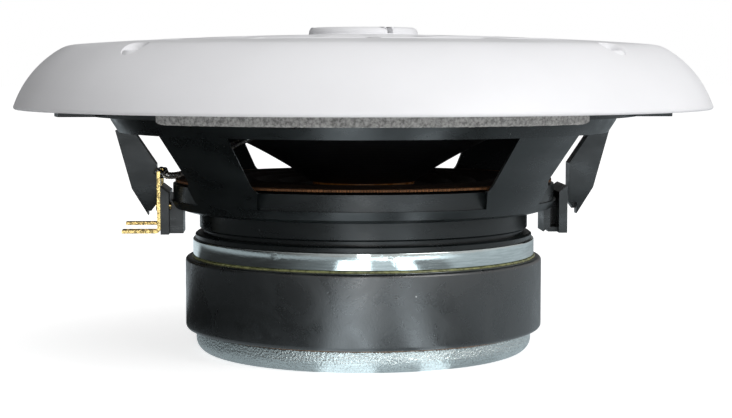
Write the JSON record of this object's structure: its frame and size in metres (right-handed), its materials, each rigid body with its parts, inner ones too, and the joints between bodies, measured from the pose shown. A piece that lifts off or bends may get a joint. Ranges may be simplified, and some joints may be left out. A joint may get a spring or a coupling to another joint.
{
  "type": "coaxial loudspeaker",
  "caption": "Round two-way marine loudspeaker with a white one-piece grille, open black basket, exposed ring magnet and brass terminals on one side.",
  "frame": {"origin": "centre of the back plate's rear face, on the axis", "axes": "+Z along the axis towards the front, terminals at -X, windows facing X and Y"},
  "size_m": [0.1738, 0.1738, 0.081],
  "materials": {
    "white_plastic": "satin white moulded plastic",
    "black_plastic": "satin black moulded plastic",
    "grey_foam": "speckled grey closed-cell foam",
    "grey_board": "grey fibre board",
    "screw_steel": "plated steel",
    "terminal_brass": "bright plated brass",
    "zinc_steel": "blue-white zinc plated steel",
    "ferrite": "ground dark grey ferrite",
    "dried_glue": "dried yellow-green adhesive",
    "black_rubber": "soft black rubber",
    "cone_plastic": "black moulded cone",
    "resin_cloth": "resin treated brown cloth",
    "amber_film": "amber heat-proof film",
    "copper_wire": "enamelled copper wire",
    "tinned_braid": "tinned copper braid",
    "post_steel": "turned steel",
    "nickel_steel": "nickel plated steel",
    "dome_film": "formed grey film",
    "capacitor_sleeve": "blue shrink sleeve"
  },
  "bodies": {
    "frame": {"front_grille": "white_plastic", "grille_screws": "screw_steel", "mounting_gasket": "grey_foam", "clamp_ring": "grey_board", "basket": "black_plastic", "basket_screws": "screw_steel", "terminal_wide": "terminal_brass", "terminal_narrow": "terminal_brass", "terminal_rivets": "terminal_brass", "top_plate": "zinc_steel", "magnet": "ferrite", "glue_lines": "dried_glue", "back_plate": "zinc_steel", "surround": "black_rubber", "spider": "resin_cloth", "lead_wide": "tinned_braid", "lead_narrow": "tinned_braid", "tweeter_post": "post_steel", "tweeter_cup": "nickel_steel", "tweeter_magnet": "nickel_steel", "tweeter_pole": "nickel_steel", "tweeter_plate": "black_plastic", "tweeter_film": "dome_film", "tweeter_capacitor": "capacitor_sleeve"},
    "cone_set": {"cone": "cone_plastic", "coil_former": "amber_film", "voice_coil": "copper_wire"},
    "dome_set": {"tweeter_dome": "dome_film", "tweeter_coil": "copper_wire"}
  },
  "joints": [
    {"name": "cone_travel", "type": "slide", "parent": "frame", "child": "cone_set", "axis": [0, 0, 1], "range_m": [-0.004, 0.004], "stiffness_N_per_m": 1500, "deforming": ["surround", "spider", "lead_wide", "lead_narrow"]},
    {"name": "dome_travel", "type": "slide", "parent": "frame", "child": "dome_set", "axis": [0, 0, 1], "range_m": [-0.00025, 0.00025], "stiffness_N_per_m": 1000, "deforming": ["tweeter_film"]}
  ]
}
